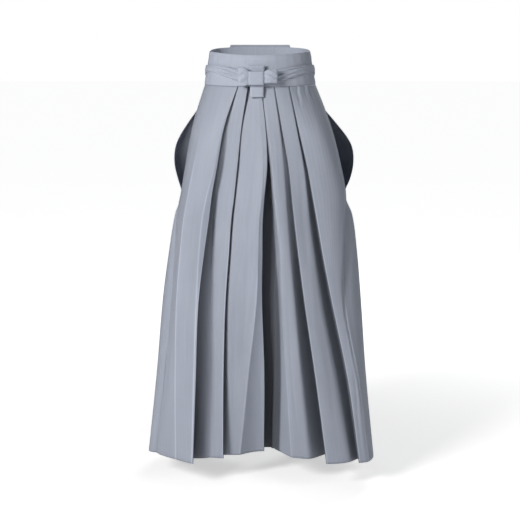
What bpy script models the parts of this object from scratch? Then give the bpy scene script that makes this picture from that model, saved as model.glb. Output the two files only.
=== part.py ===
"""Hakama: pleated, divided trousers in their worn, hollow form, with ties, back board and knot.

Metres, +Z up.  The front faces -Y and the wearer's left is +X.  The origin is the centre of
the waist at the height of the waist seam; the hem is one drop below it.

Every cloth piece is a sheet through level sections.  A section is worked out from the form
tables (how far the cloth stands out) and the line tables (where each pleat edge runs), then
given its thickness by a Solidify modifier.
"""
import math
from bisect import bisect_right

import bpy
import numpy as np

# ---------------------------------------------------------------- driving sizes
DROP = 0.920            # waist seam to hem, the front length a maker calls himo-shita
WALL = 0.0014           # one thickness of cloth
SEAM = 0.0003           # gap left between sewn pieces
FORK = 0.55             # where the legs part, as a share of the drop
SLIT = 0.29             # where the side openings end
WAIST_SIDE = 0.137      # half width of the waist at the seam
WAIST_FRONT = 0.105     # waist, middle to front
WAIST_BACK = 0.100      # waist, middle to back
WAIST_TAPER = 0.15      # the waist narrows upward by this much for each metre
BACK_TOP = 0.0117       # the backs start this much higher than the fronts
TIE_WIDTH = 0.037       # one pass of the front tie
TIE_WALL = 0.0024       # a tie is folded cloth
BOARD_WALL = 0.0050
WAIST_DIP = 0.0016      # the waist seam is this much lower in the middle of the front
WAIST_RISE = 0.0040     # and this much higher again at the sides
FRONT_TAPER = 0.085     # the front of the waist comes in by this much for each metre up
BOARD_HALF = (0.1135, 0.075)    # half width of the board at its foot and top
BOARD_HIGH = 0.100      # top of the board
BOARD_EDGE = 0.080      # how far back the ends of the board are
BOARD_BOW = 0.0285      # and how much further its middle is
BOARD_LEAN = 0.006      # the board leans back by this much at its top

# heights of the sections, as shares of the drop
ROWS = (0.0, 0.03, 0.06, 0.10, 0.16, 0.22, 0.29, 0.35, 0.45, 0.55, 0.67, 0.78, 0.89, 1.0)

# ---------------------------------------------------------------- form of the fronts
# share: share of the drop; middle: how far forward the cloth is at the middle;
# crest_out, crest: where each leg stands out most and how far forward; side_edge: how far
# forward its side edge is; round: 2 is an ellipse between crest and side, less is flatter
FORM_COLUMNS = ("share", "middle", "crest_out", "crest", "side_edge", "round")
FRONT_FORM = {
    "right": (
        (0.00, 0.105, 0.010, 0.105, 0.000, 2.0),
        (0.12, 0.118, 0.060, 0.119, 0.000, 2.5),
        (0.29, 0.122, 0.060, 0.130, 0.020, 1.9),
        (0.55, 0.115, 0.110, 0.155, 0.089, 1.5),
        (1.00, 0.100, 0.165, 0.198, 0.105, 1.25)),
    "left": (
        (0.00, 0.105, 0.010, 0.105, 0.000, 2.0),
        (0.12, 0.118, 0.080, 0.121, 0.000, 2.8),
        (0.29, 0.122, 0.085, 0.130, 0.038, 2.5),
        (0.55, 0.115, 0.130, 0.155, 0.126, 2.0),
        (1.00, 0.100, 0.220, 0.200, 0.180, 1.4)),
}
# the backs, measured the same way but to the back; edge: roundness at the side edge
BACK_COLUMNS = ("share", "middle", "crest_out", "crest", "round", "edge")
BACK_FORM = (
    (0.00, 0.1085, 0.010, 0.1085, 3.2, 1.0),
    (0.12, 0.1230, 0.035, 0.1250, 2.4, 1.7),
    (0.29, 0.1300, 0.065, 0.1380, 2.2, 2.0),
    (0.55, 0.1200, 0.105, 0.1480, 2.1, 2.1),
    (1.00, 0.1050, 0.150, 0.1700, 2.0, 2.2))
# where each back turns the side: out from the middle, and how far back.  Down to the end of
# the side opening this is its free edge; below, the cloth bows on from here to the side seam
TURN_COLUMNS = ("share", "right_out", "left_out", "back")
SIDE_TURN = (
    (0.00, 0.115, 0.115, 0.080),
    (0.05, 0.147, 0.150, 0.081),
    (0.10, 0.182, 0.191, 0.075),
    (0.17, 0.217, 0.236, 0.055),
    (0.22, 0.219, 0.239, 0.034),
    (0.26, 0.209, 0.229, 0.010),
    (0.29, 0.199, 0.215, -0.020),
    (0.35, 0.214, 0.232, -0.012),
    (0.45, 0.230, 0.245, -0.004),
    (0.55, 0.243, 0.253, -0.006),
    (0.78, 0.262, 0.267, -0.036),
    (1.00, 0.283, 0.286, -0.075))

# ---------------------------------------------------------------- lines down the fronts
# for each line, in millimetres at each share of the drop: how far out from the middle it
# runs, then its lift, which is how far the cloth stands out of the form there
LINE_SHARES = (0.0, 0.10, 0.22, 0.29, 0.35, 0.45, 0.55, 0.78, 1.0)
LINES = {
    "right": {
        "side":    ((137, 167, 188, 199, 209, 214, 219, 239, 262), (0, 0, 0, 0, 0, 0, 0, 0, 0)),
        "crease3": ((118, 142, 164, 177, 187, 197, 204, 210, 210),
                    (0, 0, 15, 25, 30, 29, 26, 8, -8)),
        "roll3":   ((57, 88, 113, 131, 142, 151, 156, 163, 168), (0, 0, 0, 0, 0, 0, 0, 0, 0)),
        "pleat3":  ((55, 86, 107, 119, 126, 139, 150, 159, 166),
                    (0, -1, -4, -8, -12, -9, -2, -1, -1)),
        "shade3":  ((53, 73, 92, 107, 116, 120, 122, 124, 124),
                    (-1, -12, -26, -32, -41, -50, -55, -57, -38)),
        "pleat2":  ((25, 45, 57, 64, 71, 78, 85, 92, 93),
                    (0, -10, -17, -23, -31, -37, -38, -33, -6)),
        "shade2":  ((22, 41, 52, 60, 66, 73, 79, 81, 81),
                    (0, -12, -22, -28, -37, -43, -44, -39, -23)),
        "ridge1":  ((8, -1, -7, -4, 2, 5, 8, 30, 51), (0, 0, 0, 1, 1, 1, 1, 3, 3)),
        "pleat1":  ((-1, -12, -16, -10, -6, -5, -4, -10, -9),
                    (0, 0, -2, -3, -4, -5, -6, -7, -8))},
    "left": {
        "side":    ((138, 175, 204, 215, 213, 209, 207, 242, 268), (0, 0, 0, 0, 0, 0, 0, 0, 0)),
        "pleat3":  ((72, 92, 117, 129, 139, 155, 173, 217, 246),
                    (0, 0, 0, -1, -1, -1, -1, -2, -2)),
        "shade3":  ((69, 87, 107, 114, 119, 131, 143, 183, 221),
                    (0, -2, -4, -6, -8, -9, -10, -13, -14)),
        "pleat2":  ((36, 52, 71, 78, 84, 95, 107, 138, 165), (0, 2, 4, 5, 6, 7, 8, 11, 14)),
        "shade2":  ((33, 47, 58, 63, 67, 74, 83, 102, 125), (0, -2, -4, -5, -6, -5, -4, 0, 2)),
        "crease":  ((12, 19, 29, 33, 38, 46, 51, 66, 79), (0, 1, 2, 3, 4, 6, 8, 14, 20)),
        "shade1":  ((6, 14, 26, 31, 36, 44, 46, 44, 40),
                    (0, -3, -12, -24, -32, -38, -40, -38, -30))},
}
# how far the left front's strips fall away, in millimetres, from their shade line to where
# they pass under the pleat edge that covers them
FALLS = {"pleat3": (2, 4, 9, 18, 25, 31, 38, 42, 32), "pleat2": (2, 4, 11, 15, 18, 24, 30, 44, 48)}
# the gap between the legs: how far out its floor ends beside the left front, and how far
# forward the floor is (millimetres)
GAP_FOOT = (4, 10, 23, 29, 34, 42, 38, 33, 28)
GAP_REACH = (99, 98, 80, 78, 78, 78, 77, 68, 58)
# name: how deep the pleat is folded at the waist, the fork and the hem, and the room between
# its layers at the waist, the end of the side openings, the fork and the hem (millimetres)
PLEATS = {
    "right": {"pleat3": ((30, 45, 62), (3.4, 9.2, 13.7, 21.0)),
              "pleat2": ((22, 38, 48), (3.4, 7.5, 9.0, 22.0)),
              "pleat1": ((17, 20, 45), (3.0, 12.5, 19.0, 22.0))},
    "left": {"pleat3": ((30, 40, 30), (3.4, 7.0, 12.0, 13.0)),
             "pleat2": ((26, 42, 48), (3.4, 9.0, 16.0, 26.0))},
}
# lines of each strip that shows, from the side to the middle, with the columns between them;
# edge is where the pleat before ends, under where the strip passes beneath its edge
STRIPS = {
    "right": ((("side", "crease3", "roll3", "pleat3"), (4, 4, 1)),
              (("edge", "shade3", "pleat2"), (2, 3)),
              (("edge", "shade2", "ridge1", "pleat1"), (2, 3, 3))),
    "left": ((("side", "pleat3"), (8,)),
             (("edge", "under", "shade3", "pleat2"), (1, 3, 3)),
             (("edge", "under", "shade2", "crease", "shade1"), (1, 3, 2, 2))),
}
# the one deep pleat of each back
BACK_FOLD = (30, 35, 40, 44, 48, 53, 58, 70, 82)
BACK_PLEAT = ((28, 40, 55), (2.2, 7.4, 11.4, 18.0))

FOLD = 0.0034           # least room between two layers, kept where they meet in a fold
START = 0.004           # first step of a section, square across the edge it starts from
SIDE_MARGIN = 0.012     # hidden folds end this far short of the side edge
FRONT_PART = 0.003      # X of the left front's inner edge at the hem
BACK_PART = 0.020       # distance out of each back's inner edge at the hem
GORE_BOW = 0.010        # how far a gore bows into its leg at the hem
FLANGE = 0.003          # depth of the seam between the fronts
BOW_START = 0.15        # the back's own columns start this far along its bow from the side seam
BOW = 4.0               # how squarely the cloth goes round between side seam and turn
PROBE = 0.002           # step used to measure a slope

# ---------------------------------------------------------------- ties and knot
# passes of the front tie: low edge, high edge, how far the cloth stands off the waist
WRAPS = {
    "front_tie_lower": (0.0009, TIE_WIDTH, 0.0009),
    "front_tie_upper": (TIE_WIDTH + 0.0008, 0.0745, -0.0002)}
WRAP_LIFT = 0.0055      # the upper pass climbs by this much towards the back
WRAP_BACK = (0.0024, 0.0115)    # both passes at the back: height at the sides, climb to the middle
# back tie, from the board to the knot: way round, low edge, high edge
TIE_COLUMNS = ("way", "low", "high")
BACK_TIE = (
    (0.00, 0.014, 0.050),
    (0.25, 0.027, 0.050),
    (0.50, 0.034, 0.050),
    (0.75, 0.024, 0.048),
    (1.00, 0.006, 0.044))
TIE_START, TIE_SWEEP = -27, 101     # degrees: where a back tie starts, and how far round it runs
TIE_OFF = 0.0040        # it stands this far off the waist
# loops of the knot: end, root, (low, high) under the wrap, (low, high) at the end, wrap edge
LOOPS = {
    "knot_loop_right": (-0.0537, -0.010, (0.0060, 0.0318), (0.0000, 0.0450), -0.0278),
    "knot_loop_left": (0.0418, -0.006, (0.0060, 0.0318), (0.0075, 0.0408), 0.0097)}
LOOP_FRONT, LOOP_BACK = -0.1268, -0.1188    # Y of a loop's two walls
WRAP_X = (-0.0278, 0.0097)      # the wrap over the middle of the knot
WRAP_FRONT, WRAP_BEHIND = -0.1316, -0.1190
WRAP_Z = (0.0027, 0.0062, 0.0190, 0.0320, 0.0355)   # tail, low bend, middle, high bend, tail
TAB_UPPER_X = (-0.0258, 0.0106)
TAB_LOWER_X = (-0.0240, 0.0084)

CLOTH = (0.36, 0.40, 0.47)      # pale blue-grey


# ---------------------------------------------------------------- helpers
def along(shares, values, share):
    """Smooth value of a table row at any share of the drop."""
    slopes = np.gradient(np.asarray(values, float), np.asarray(shares, float))
    i = min(max(bisect_right(shares, share) - 1, 0), len(shares) - 2)
    step = shares[i + 1] - shares[i]
    u = (share - shares[i]) / step
    return ((2 * u**3 - 3 * u**2 + 1) * values[i] + (u**3 - 2 * u**2 + u) * step * slopes[i]
            + (3 * u**2 - 2 * u**3) * values[i + 1] + (u**3 - u**2) * step * slopes[i + 1])


def column(table, columns, name, share):
    """One named column of a table at a share of the drop."""
    index = columns.index(name)
    return along([row[0] for row in table], [row[index] for row in table], share)


def form(side, name, share):
    """One column of a front's form at a share of the drop."""
    return column(FRONT_FORM[side], FORM_COLUMNS, name, share)


def line(side, name, share):
    """Distance out from the middle, in metres, of a line of one front."""
    return along(LINE_SHARES, LINES[side][name][0], share) / 1000


def lift(side, name, share):
    """How far the cloth stands out of the form along a line."""
    return along(LINE_SHARES, LINES[side][name][1], share) / 1000


def pleat(sizes, share):
    """Depth of a pleat and the room between its layers."""
    depths, rooms = sizes
    deep = float(np.interp(share, (0, FORK, 1), depths)) / 1000
    return deep, along((0, SLIT, FORK, 1), rooms, share) / 1000


def front_depth(side, out, share):
    """How far forward the form of a front is at a distance from the middle."""
    middle, crest_out, crest, side_edge, power = (
        form(side, name, share) for name in ("middle", "crest_out", "crest", "side_edge", "round"))
    out = abs(out)
    if out <= crest_out:
        return middle + (crest - middle) * (1 - math.cos(math.pi * out / crest_out)) / 2
    u = min(1.0, (out - crest_out) / (line(side, "side", share) - crest_out))
    return side_edge + (crest - side_edge) * (1 - u**power)**(1 / power)


def side_turn(side, share):
    """Where a back turns the side: distance out, and how far back."""
    return tuple(column(SIDE_TURN, TURN_COLUMNS, name, share) for name in (side + "_out", "back"))


def side_bow(side, share, way):
    """(distance out, back) between the side seam (way 0) and the turn (way 1): turn -
    (turn - seam) * (1 - way)^bow out, and straight back."""
    out, back = side_turn(side, share)
    seam_out, seam_back = line(side, "side", share), -form(side, "side_edge", share)
    return out - (out - seam_out) * (1 - way)**BOW, seam_back + (back - seam_back) * way


def side_seam(side, share):
    """Side edge of a front (distance out, forward) and the way the cloth crosses it."""
    out, forward = line(side, "side", share), form(side, "side_edge", share)
    if share <= SLIT:
        return out, forward, (0.0, -1.0)
    next_out, next_back = side_bow(side, share, BOW_START)
    last = out - SIDE_MARGIN
    way = (next_out - last, -next_back - front_depth(side, last, share))
    size = math.hypot(*way)
    return out, forward, (way[0] / size, way[1] / size)


def back_depth(side, out, share):
    """How far back the form of a back is at a distance from the middle."""
    middle, crest_out, crest, power, edge = (
        column(BACK_FORM, BACK_COLUMNS, name, share)
        for name in ("middle", "crest_out", "crest", "round", "edge"))
    edge_out, edge_back = side_turn(side, share)
    if out <= crest_out:
        return middle + (crest - middle) * (1 - math.cos(math.pi * out / crest_out)) / 2
    u = min(1.0, (out - crest_out) / (edge_out - crest_out))
    return edge_back + (crest - edge_back) * (1 - u**power)**(1 / edge)


def waist_line(out):
    """Height of the waist seam on the front: it dips in the middle."""
    return -WAIST_DIP + WAIST_RISE * (out / WAIST_SIDE)**2


def spread(first, last, count):
    """count evenly spaced steps after first, up to and with last."""
    return [first + (last - first) * (i + 1) / count for i in range(count)]


def strip_level(keys, out):
    """Lift of a strip at a distance out, from its key lines (side to middle)."""
    outs = [k[0] for k in keys][::-1]
    lifts = [k[1] for k in keys][::-1]
    return float(np.interp(out, outs, lifts))


def beneath(surface, level, out, depth):
    """A point under the cloth: square to it where it rises, and straight behind it, as far
    from it, where it falls.  surface gives that cloth's reach."""
    slope = (surface(out + PROBE, level) - surface(out, level)) / PROBE
    size = math.hypot(1.0, slope)
    if slope > 0:
        return out + depth * slope / size, surface(out, level) - depth / size
    return out, surface(out, level) - depth * min(size, 1.5)


def folded_under(surface, keys, deep, room, limit):
    """Points of the two hidden layers of a knife pleat, from its edge and back to it.

    The three layers make a Z: the first two close up at the pleat's edge, the last two at
    the fold hidden under it.
    """
    edge = keys[-1][0]
    tip = min(edge + deep, limit)
    steep = (keys[-1][1] - strip_level(keys, edge + 2 * PROBE)) / (2 * PROBE)
    thin = min(room, FOLD * math.hypot(1.0, steep))
    layers = ([], [])
    for way in (0.0, 0.5, 1.0):
        out = edge + (tip - edge) * way
        level = strip_level(keys, out)
        layers[0].append(beneath(surface, level, out, thin + (room - thin) * way))
        layers[1].append(beneath(surface, level, out, 2 * room + (thin - room) * way))
    return layers[0] + layers[1][::-1]


def front_seam(share):
    """Where the two fronts meet, hidden under the middle pleat: X of the seam."""
    deep, _ = pleat(PLEATS["right"]["pleat1"], share)
    return -(line("right", "pleat1", share) + deep)


def left_start(share):
    """X of the left front's inner edge; below the fork it moves into its own leg."""
    if share < FORK:
        return front_seam(share) + WALL / 2 + SEAM
    fork = front_seam(FORK) + 1.5 * WALL + 2 * SEAM
    return fork + (FRONT_PART - fork) * (share - FORK) / (1 - FORK)


def strip_keys(side, names, share, before, covering):
    """(distance out, lift) of the lines of one strip.

    before is where the pleat passed last ends.  A strip with an "under" line falls away from
    its shade line, the one after it, to pass under the edge of that pleat, named covering.
    """
    keys = [before if name in ("edge", "under") else (line(side, name, share), lift(side, name, share))
            for name in names]
    if "under" in names:
        shade_out, shade_lift = keys[2]
        out = min(line(side, covering, share) + PROBE, before[0] - PROBE / 2)
        fall = along(LINE_SHARES, FALLS[covering], share) / 1000
        reach = min(front_depth(side, shade_out, share) + shade_lift - fall,
                    front_depth(side, before[0], share) + before[1] - PROBE)
        keys[1] = (out, reach - front_depth(side, out, share))
    elif before is not None:
        keys[1] = (min(keys[1][0], before[0] - START), keys[1][1])
    return keys


def front_section(side, share):
    """(distance out, forward) of one front from its side edge to its inner edge."""
    side_out, side_edge, way = side_seam(side, share)
    crest_out, power = form(side, "crest_out", share), form(side, "round", share)
    points = [(side_out - way[0] * run, side_edge - way[1] * run) for run in (SEAM / 2, START)]

    def forward(out, level):
        return front_depth(side, out, share) + level

    def turn(out):
        """Angle round the leg of a distance out, so that columns bunch where it bends."""
        u = max(0.0, (out - crest_out) / (side_out - crest_out))
        return math.asin(min(1.0, u**(power / 2)))

    before, covering = None, None       # where the pleat passed last ends, and its name
    limit = side_out - SIDE_MARGIN
    for names, counts in STRIPS[side]:
        keys = strip_keys(side, names, share, before, covering)
        start = turn(side_out - START)
        for first, last, count in zip(keys, keys[1:], counts):
            if before is None:
                outs = [crest_out + (side_out - crest_out) * math.sin(angle)**(2 / power)
                        for angle in spread(start, turn(last[0]), count)]
                outs[-1] = last[0]
                start = turn(last[0])
            else:
                outs = spread(first[0], last[0], count)
            points += [(out, forward(out, strip_level(keys, out))) for out in outs]
        covering = names[-1]
        if covering not in PLEATS[side]:
            break
        deep, room = pleat(PLEATS[side][covering], share)
        if covering == "pleat1":        # one hidden layer, with a short flange to the seam
            points += folded_under(forward, keys, deep, room, side_out)[:3]
            tip = keys[-1][0] + deep
            reach = beneath(forward, strip_level(keys, tip), tip, 2 * room)[1]
            points.append((points[-1][0], reach - FLANGE))
            break
        points += folded_under(forward, keys, deep, room, limit)
        end = points[-1]
        before = (end[0], end[1] - forward(end[0], 0.0))
        limit = before[0] - START
    if side == "left":
        points += gap(share, points[-1])
    return points


def gap(share, start):
    """The left front beyond its last line: back into the gap between the legs, along its
    floor and up again under the middle pleat."""
    _, room = pleat(PLEATS["right"]["pleat1"], share)
    under = PROBE - line("right", "pleat1", share)
    foot = max(along(LINE_SHARES, GAP_FOOT, share) / 1000, under + PROBE / 2)
    floor = along(LINE_SHARES, GAP_REACH, share) / 1000
    points = []
    for way in spread(0.0, 1.0, 3):
        bend = way + 0.15 * math.sin(2 * math.pi * way)
        points.append((start[0] + (foot - start[0]) * way, start[1] + (floor - start[1]) * bend))
    points.append((under, floor))
    inner = left_start(share)
    for way in spread(0.0, 1.0, 3):
        out = under + (inner - under) * way
        behind = front_depth("left", out, share) - 2 * room
        points.append((out, floor + (behind - floor) * way * way * (3 - 2 * way)))
    return points


def back_section(side, share):
    """(distance out, back) of one back from its side edge to the middle seam."""
    edge_out, edge_back = side_turn(side, share)
    crest_out, power = (column(BACK_FORM, BACK_COLUMNS, name, share)
                        for name in ("crest_out", "round"))
    fold = along(LINE_SHARES, BACK_FOLD, share) / 1000
    deep, room = pleat(BACK_PLEAT, share)

    def backward(out, level):
        return back_depth(side, out, share) + level

    # the cloth from the side edge to the pleat edge, then even columns measured along it
    if share <= SLIT:
        points = [(edge_out, edge_back + SEAM / 2), (edge_out, edge_back + START)]
        path = [points[-1]]
    else:
        seam_out, forward, way = side_seam(side, share)
        points = [(seam_out + way[0] * run, -forward - way[1] * run) for run in (SEAM / 2, START)]
        path = [points[-1]] + [side_bow(side, share, way)
                               for way in [BOW_START] + spread(BOW_START, 1.0, 8)]
    start = (edge_out - 0.0005 - crest_out) / (edge_out - crest_out)
    outs = [crest_out + (edge_out - crest_out) * math.sin(max(0.0, angle))**(2 / power)
            for angle in spread(math.asin(start**(power / 2)), 0.0, 40)]
    outs = [out for out in outs if out > fold + 0.001]
    outs += spread(outs[-1], fold, 12)
    path = np.array(path + [(out, backward(out, 0.0)) for out in outs])
    run = np.concatenate(([0.0], np.cumsum(np.hypot(*np.diff(path, axis=0).T))))
    for way in spread(0.0, run[-1], 15):
        points.append(tuple(np.interp(way, run, path[:, i]) for i in (0, 1)))
    keys = [(edge_out, 0.0), (fold, 0.0)]
    hidden = folded_under(backward, keys, deep, room, edge_out - 0.01)
    points += hidden
    inner = WALL / 2 + SEAM / 2
    if share > FORK:
        inner += (BACK_PART - inner) * (share - FORK) / (1 - FORK)
    points += [(out, backward(out, -2 * room)) for out in spread(hidden[-1][0], inner, 3)]
    points.append((inner, backward(inner, -2 * room) - START))
    return points


def place(side, section, share, front):
    """World points of a section."""
    sign = -1 if side == "right" else 1
    top = max(0.0, 1 - share / 0.08)
    points = []
    for out, reach in section:
        rise = waist_line(out) if front else BACK_TOP
        points.append((sign * out, -reach if front else reach, rise * top - DROP * share))
    return points


# ---------------------------------------------------------------- building
def material(name, colour, roughness):
    made = bpy.data.materials.new(name)
    made.use_nodes = True
    shader = made.node_tree.nodes["Principled BSDF"]
    shader.inputs["Base Color"].default_value = (*colour, 1)
    shader.inputs["Roughness"].default_value = roughness
    shader.inputs["Metallic"].default_value = 0.0
    return made


def sheet(collection, name, rows, wall=WALL, closed=False, tint=1.0):
    """A cloth piece: a grid through the rows, given its thickness on both sides."""
    count = len(rows[0])
    vertices = [point for row in rows for point in row]
    faces = []
    for i in range(len(rows) - 1):
        for j in range(count if closed else count - 1):
            k = (j + 1) % count
            faces.append((i * count + j, (i + 1) * count + j, (i + 1) * count + k, i * count + k))
    mesh = bpy.data.meshes.new(name)
    mesh.from_pydata(vertices, [], faces)
    mesh.update()
    piece = bpy.data.objects.new(name, mesh)
    collection.objects.link(piece)
    mesh.materials.append(material(name, [c * tint for c in CLOTH], 0.6))
    solid = piece.modifiers.new("thickness", "SOLIDIFY")
    solid.thickness = wall
    solid.offset = 0.0
    solid.use_even_offset = True
    mesh.shade_smooth()
    mesh.set_sharp_from_angle(angle=math.radians(35))
    return piece


def panels(collection):
    """The two fronts and the two backs."""
    for side in ("right", "left"):
        rows = [place(side, front_section(side, t), t, True) for t in ROWS]
        sheet(collection, "front_" + side, rows, tint=1.0)
        rows = [place(side, back_section(side, t), t, False) for t in ROWS]
        sheet(collection, "back_" + side, rows, tint=0.95)


def gores(collection):
    """The inner-leg pieces, from the fork to the hem, between each front and back."""
    steps = 6
    for side in ("right", "left"):
        rows = []
        for t in [t for t in ROWS if t >= FORK]:
            front = place(side, front_section(side, t), t, True)[-1]
            back = place(side, back_section(side, t), t, False)[-1]
            if side == "right":
                start = (front[0], front[1] + SEAM)
            else:
                start = (front[0] - WALL / 2 - SEAM, front[1] - WALL / 2)
            end = (back[0], back[1] - SEAM)
            sag = GORE_BOW * (t - FORK) / (1 - FORK) * (-1 if side == "right" else 1)
            row = []
            for i in range(steps + 1):
                u = i / steps
                bow = sag * math.sin(math.pi * u)**2
                row.append((start[0] + (end[0] - start[0]) * u + bow,
                            start[1] + (end[1] - start[1]) * u, -DROP * t))
            rows.append(row)
        sheet(collection, "gore_" + side, rows, tint=0.9)


def waist_point(angle, z, level):
    """A point on the waist at an angle (0 is the wearer's left, 90 the front), moved out."""
    side = WAIST_SIDE - WAIST_TAPER * max(z, 0.0)
    c, s = math.cos(angle), math.sin(angle)
    if s >= 0:
        reach, power = WAIST_FRONT - FRONT_TAPER * max(z, 0.0), 2.0
    else:
        reach, power = WAIST_BACK, 3.0
    x = side * math.copysign(abs(c)**(2 / power), c)
    y = -reach * math.copysign(abs(s)**(2 / power), s)
    nx = math.copysign((abs(x) / side)**(power - 1), x) / side
    ny = math.copysign((abs(y) / reach)**(power - 1), y) / reach
    size = math.hypot(nx, ny)
    return x + level * nx / size, y + level * ny / size


def tie_wraps(collection):
    """The two passes of the front tie round the waist."""
    count = 44
    for name, (low, high, level) in WRAPS.items():
        rows = []
        for share in (0.0, 0.5, 1.0):
            row = []
            for i in range(count):
                angle = 2 * math.pi * i / count
                x, y = waist_point(angle, 0.0, 0.0)
                dip = waist_line(x) if y < 0 else WRAP_BACK[0] + WRAP_BACK[1] * y / WAIST_BACK
                top = high
                if name == "front_tie_upper":
                    top += WRAP_LIFT * ((x / WAIST_SIDE)**2 if y < 0 else 1.0)
                z = dip + low + (top - low) * share
                x, y = waist_point(angle, z, level)
                row.append((x, y, z))
            rows.append(row)
        sheet(collection, name, rows, TIE_WALL, closed=True, tint=0.98)


def back_ties(collection):
    """Each back tie, from the end of the board round the side to the knot."""
    for side in ("right", "left"):
        rows = []
        for height in (1.0, 0.5, 0.0):
            row = []
            for way in [0.0] + spread(0.0, 1.0, 18):
                low = column(BACK_TIE, TIE_COLUMNS, "low", way)
                high = column(BACK_TIE, TIE_COLUMNS, "high", way)
                z = low + (high - low) * height
                crown = 0.0012 * math.sin(math.pi * height)
                angle = math.radians(TIE_START + TIE_SWEEP * way)
                x, y = waist_point(angle, z, TIE_OFF + crown)
                row.append((x if side == "left" else -x, y, z))
            rows.append(row if side == "left" else row[::-1])
        sheet(collection, "back_tie_" + side, rows, 0.75 * TIE_WALL, tint=1.02)


def board(collection):
    """The stiff back board: wide at its foot, narrow at its top, bent round the back."""
    foot = BACK_TOP + 0.0008
    rows = []
    for share in (0.0, 0.33, 0.67, 1.0):
        half = BOARD_HALF[0] + (BOARD_HALF[1] - BOARD_HALF[0]) * share
        row = []
        for way in [-1.0] + spread(-1.0, 1.0, 14):
            x = half * way
            bow = 1 - (abs(x) / (BOARD_HALF[0] + 0.0015))**3.2
            row.append((x, BOARD_EDGE + BOARD_BOW * bow + BOARD_LEAN * share,
                        foot + (BOARD_HIGH + 0.0008 - foot) * share))
        rows.append(row[::-1])
    sheet(collection, "back_board", rows, BOARD_WALL, tint=0.93)


def loop(collection, name, sizes):
    """A loop of folded tie lying sideways: a U seen from above, pinched under the wrap."""
    end, root, wrapped, free, wrap_edge = sizes
    rows = []
    for height in (0.0, 0.25, 0.5, 0.75, 1.0):
        row = []
        for way in [0.0] + spread(0.0, 1.0, 14):
            angle = math.pi * way                    # near wall, round the end, far wall
            x = root + (end - root) * math.sin(angle)**0.55
            open_part = max(0.0, (x - wrap_edge) / (end - wrap_edge))
            opened = math.sin(math.pi / 2 * min(1.0, open_part * 1.6))
            depth = (1 - math.cos(angle)) / 2
            puff = 0.0030 * opened * math.sin(math.pi * height)**0.6
            y = LOOP_BACK + (LOOP_FRONT - LOOP_BACK) * depth - puff * depth
            foot, head = (a + (b - a) * opened for a, b in zip(wrapped, free))
            row.append((x, y, foot + (head - foot) * height))
        rows.append(row)
    sheet(collection, name, rows, tint=1.05)


def strip_across(collection, name, ends, section, tint):
    """A folded strip that keeps one section in Y and Z along X, with a slight crown."""
    rows = []
    for way in (0.0, 0.25, 0.5, 0.75, 1.0):
        x = ends[0] + (ends[1] - ends[0]) * way
        crown = 0.0006 * math.sin(math.pi * way)
        rows.append([(x, y - crown, z) for y, z in section])
    sheet(collection, name, rows, tint=tint)


def bend(centre_y, centre_z, half_y, half_z, first, last, steps):
    """Points of a rounded turn in the Y-Z plane."""
    points = []
    for i in range(steps + 1):
        angle = math.radians(first + (last - first) * i / steps)
        points.append((centre_y - half_y * math.cos(angle), centre_z + half_z * math.sin(angle)))
    return points


def knot(collection):
    """The flat cross knot at the front: two loops, the wrap over them and two tabs."""
    for name, sizes in LOOPS.items():
        loop(collection, name, sizes)
    # the wrap: up behind, over the top, down the front and under
    foot, low, middle, high, head = WRAP_Z
    radius = head - high
    centre = WRAP_FRONT + 0.0006 + radius
    section = ([(WRAP_BEHIND, head)] + bend(centre, high, radius, radius, 90, 0, 3)
               + [(WRAP_FRONT, middle)] + bend(centre, low, radius, radius, 0, -90, 3)
               + [(WRAP_BEHIND, foot)])
    strip_across(collection, "knot_wrap", WRAP_X, section, 1.02)
    # tabs: flattened loops, folded at the free end
    top = ([(-0.1092, 0.0240), (-0.1092, 0.0400)]
           + bend(-0.1115, 0.0478, 0.0023, 0.0023, 180, 0, 6)
           + [(-0.1138, 0.0400), (-0.1138, 0.0240)])
    strip_across(collection, "knot_tab_upper", TAB_UPPER_X, top, 1.03)
    bottom = ([(-0.1118, 0.0090), (-0.1122, -0.0080)]
              + bend(-0.1142, -0.0243, 0.0022, 0.0022, -180, 0, 6)
              + [(-0.1166, -0.0080), (-0.1162, 0.0090)])
    strip_across(collection, "knot_tab_lower", TAB_LOWER_X, bottom, 1.03)


def main():
    for thing in list(bpy.data.objects):
        bpy.data.objects.remove(thing)
    collection = bpy.data.collections.new("hakama")
    bpy.context.scene.collection.children.link(collection)
    panels(collection)
    gores(collection)
    tie_wraps(collection)
    back_ties(collection)
    board(collection)
    knot(collection)


main()
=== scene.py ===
"""Hakama, worn form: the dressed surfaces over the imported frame.

Metres, +Z up; the front faces -Y and the wearer's left is +X.  Each panel is a surface of two
parameters: the share of the drop (0 at the waist seam, 1 at the hem) and a way round the garment.
A section at one share is a row of points (distance out from the middle, reach forward or back);
all rows are worked out together as arrays.  The ties, the board and the knot are such grids too.
"""

import bpy
import numpy as np
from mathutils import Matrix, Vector


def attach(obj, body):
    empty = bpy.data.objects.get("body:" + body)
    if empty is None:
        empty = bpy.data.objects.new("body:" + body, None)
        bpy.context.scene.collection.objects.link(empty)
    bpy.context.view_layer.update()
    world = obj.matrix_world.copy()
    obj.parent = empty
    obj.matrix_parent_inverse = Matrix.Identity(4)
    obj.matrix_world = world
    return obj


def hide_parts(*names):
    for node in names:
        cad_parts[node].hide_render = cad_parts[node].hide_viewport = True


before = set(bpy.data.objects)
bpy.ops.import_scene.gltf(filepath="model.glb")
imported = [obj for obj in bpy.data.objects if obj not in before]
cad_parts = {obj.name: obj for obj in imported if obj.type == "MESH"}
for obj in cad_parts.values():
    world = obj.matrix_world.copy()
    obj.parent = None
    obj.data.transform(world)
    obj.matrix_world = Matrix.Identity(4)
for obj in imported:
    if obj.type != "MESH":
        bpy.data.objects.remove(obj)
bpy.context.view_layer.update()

# ---- driving sizes
DROP = 0.920            # waist seam to hem
WALL = 0.0011           # one thickness of cloth
SOLID_WALL = 0.0014     # the same in the solids, whose seams the panels follow
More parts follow.
